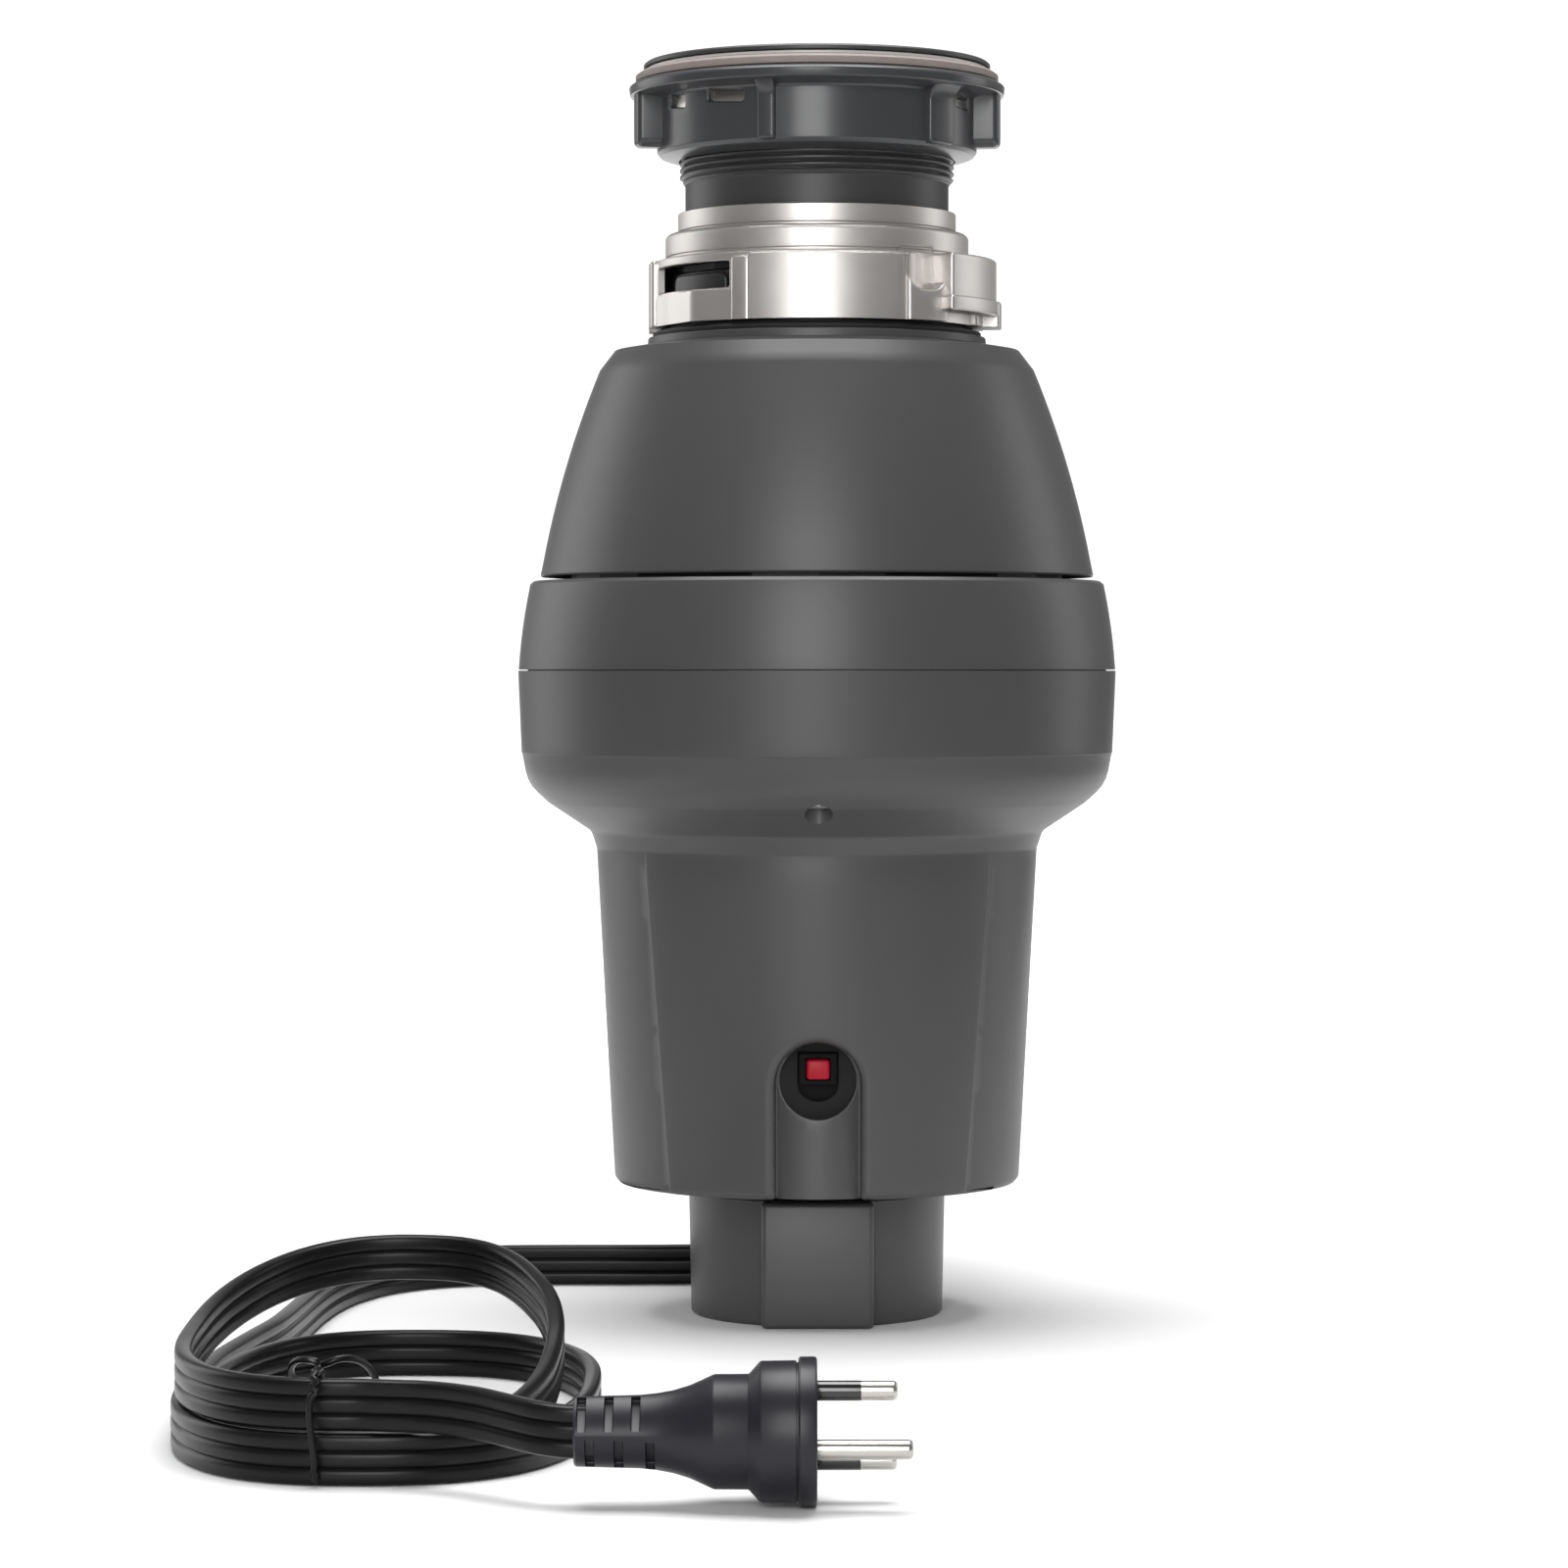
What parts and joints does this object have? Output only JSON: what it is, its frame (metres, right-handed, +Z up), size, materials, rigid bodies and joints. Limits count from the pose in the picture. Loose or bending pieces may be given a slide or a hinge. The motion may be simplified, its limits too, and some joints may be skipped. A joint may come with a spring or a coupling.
{
  "type": "kitchen garbage disposal",
  "caption": "Under-sink food waste disposer with bayonet sink mount, grinding chamber, motor, reset button, rear discharge elbow and coiled mains cord with plug.",
  "frame": {"origin": "centre of the base's underside, on the motor axis", "axes": "+Z up along the motor axis to the sink rim, -Y towards the reset button, +Y to the discharge"},
  "size_m": [0.2659, 0.5318, 0.391],
  "materials": {
    "housing_grey": "satin dark grey moulding",
    "dark_plastic": "satin black moulding",
    "nut_grey": "semi-gloss dark grey moulding",
    "die_cast": "satin nickel on a casting",
    "steel": "brushed",
    "dark_steel": "oiled",
    "rubber": "matt",
    "fibre": "pressed fibre",
    "button_red": "satin red",
    "copper": "varnished winding wire",
    "board": "printed board",
    "carbon": "pressed carbon and ferrite",
    "cord_black": "semi-gloss vinyl",
    "plug_black": "satin vinyl moulding"
  },
  "bodies": {
    "housing": {"support_ring": "dark_plastic", "cushion_ring": "rubber", "splash_guard": "rubber", "upper_shell": "housing_grey", "mid_band": "housing_grey", "lower_shell": "housing_grey", "case_screw_1": "steel", "case_screw_2": "steel", "case_screw_3": "steel", "base_cap": "housing_grey", "hopper": "dark_plastic", "grind_ring": "steel", "sump": "dark_steel", "shaft_seal": "rubber", "upper_bearing": "steel", "lower_bearing": "steel", "motor_can": "dark_steel", "magnet_1": "carbon", "magnet_2": "carbon", "motor_end_bell": "dark_plastic", "brush_1": "carbon", "brush_2": "carbon", "through_bolt_1": "steel", "through_bolt_2": "steel", "rectifier_board": "board", "reset_breaker": "dark_plastic", "reset_bezel": "dark_plastic", "discharge_gasket": "rubber", "discharge_elbow": "dark_plastic", "discharge_flange": "steel", "discharge_screw_1": "steel", "discharge_screw_2": "steel", "dishwasher_spigot": "dark_plastic", "dishwasher_knockout": "dark_plastic", "strain_relief": "rubber", "cord_coil": "cord_black", "cord_run": "cord_black", "cord_lead": "cord_black", "twist_tie": "cord_black", "plug_body": "plug_black", "plug_pin_line": "steel", "plug_pin_neutral": "steel", "plug_pin_earth": "steel"},
    "rotor": {"motor_shaft": "steel", "turntable": "steel", "turntable_nut": "dark_steel", "impeller_pin_1": "dark_steel", "impeller_pin_2": "dark_steel", "armature_core": "dark_steel", "armature_winding": "copper", "commutator": "copper"},
    "impeller_a": {"impeller_1": "steel"},
    "impeller_b": {"impeller_2": "steel"},
    "collar": {"swivel_collar": "die_cast"},
    "sink_tube": {"sink_flange": "dark_plastic"},
    "washer": {"backup_washer": "fibre", "flange_gasket": "rubber"},
    "nut": {"mounting_nut": "nut_grey"},
    "reset": {"reset_button": "button_red"}
  },
  "joints": [
    {"name": "rotor_spin", "type": "hinge", "parent": "housing", "child": "rotor", "pos_m": [0, 0, 0.2079], "axis": [0, 0, 1], "continuous": true},
    {"name": "impeller_a_swing", "type": "hinge", "parent": "rotor", "child": "impeller_a", "pos_m": [0, -0.044, 0.214], "axis": [0, 0, 1], "continuous": true},
    {"name": "impeller_b_swing", "type": "hinge", "parent": "rotor", "child": "impeller_b", "pos_m": [0, 0.044, 0.214], "axis": [0, 0, 1], "continuous": true},
    {"name": "collar_turn", "type": "hinge", "parent": "housing", "child": "collar", "pos_m": [0, 0, 0.32], "axis": [0, 0, 1], "range_deg": [-40, 0]},
    {"name": "mount_swivel", "type": "hinge", "parent": "housing", "child": "sink_tube", "pos_m": [0, 0, 0.34], "axis": [0, 0, 1], "continuous": true},
    {"name": "washer_drop", "type": "slide", "parent": "sink_tube", "child": "washer", "axis": [0, 0, 1], "range_m": [-0.0063, 0]},
    {"name": "nut_turn", "type": "hinge", "parent": "washer", "child": "nut", "pos_m": [0, 0, 0.372], "axis": [0, 0, 1], "range_deg": [-1080, 0]},
    {"name": "reset_press", "type": "slide", "parent": "housing", "child": "reset", "axis": [0, 1, 0], "range_m": [0, 0.0025], "stiffness_N_per_m": 500}
  ],
  "couplings": [
    {"joint": "washer_drop", "follows": "nut_turn", "m_per_rad": 0.00033423}
  ]
}
